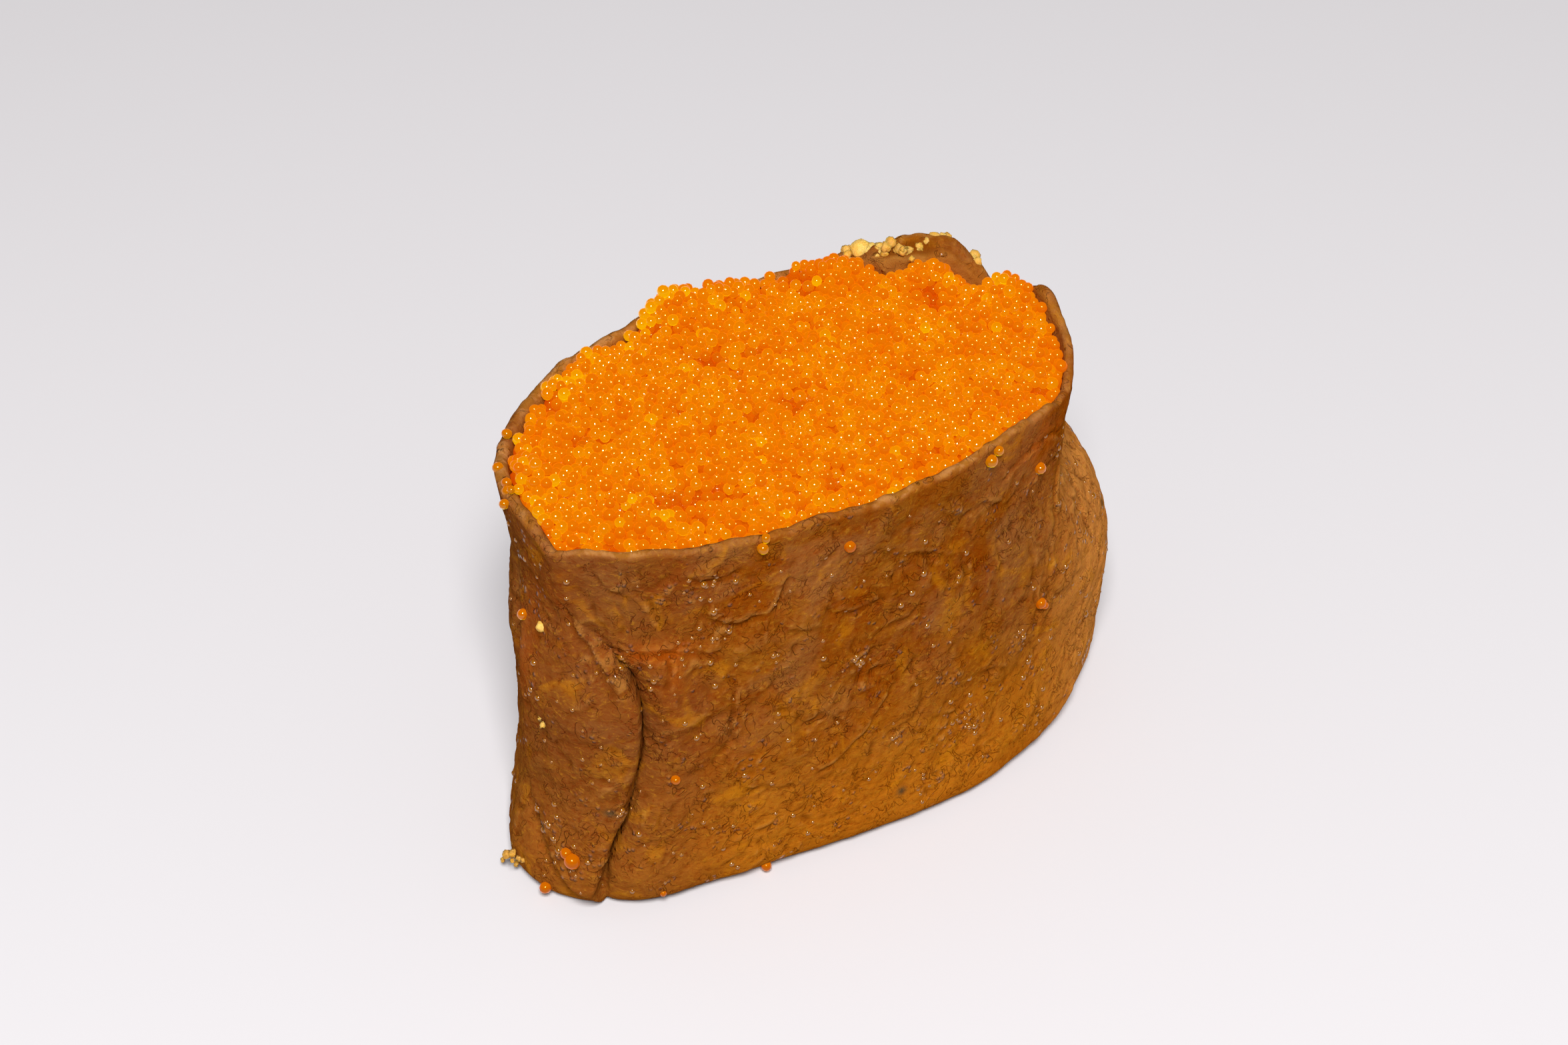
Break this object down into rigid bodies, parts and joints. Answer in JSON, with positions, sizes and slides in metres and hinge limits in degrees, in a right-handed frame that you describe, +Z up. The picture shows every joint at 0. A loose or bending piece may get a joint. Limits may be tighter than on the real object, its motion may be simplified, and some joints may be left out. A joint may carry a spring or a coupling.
{
  "type": "inari sushi",
  "caption": "Open pouch of simmered fried tofu skin standing on its closed end, with a folded corner and a pinched end, heaped to the rim with small orange fish roe.",
  "frame": {"origin": "on the ground under the middle of the whole piece's box", "axes": "+X along the long oval towards the pinched end, -Y towards the front with the folded corner at its left, +Z up out of the open mouth"},
  "size_m": [0.0688, 0.0378, 0.0452],
  "materials": {
    "tofu_skin": "moist wrinkled brown fried tofu skin, half gloss, with a paler cut edge",
    "fish_roe": "glossy translucent orange eggs"
  },
  "bodies": {
    "root": {"pouch": "tofu_skin", "roe": "fish_roe"}
  },
  "joints": []
}
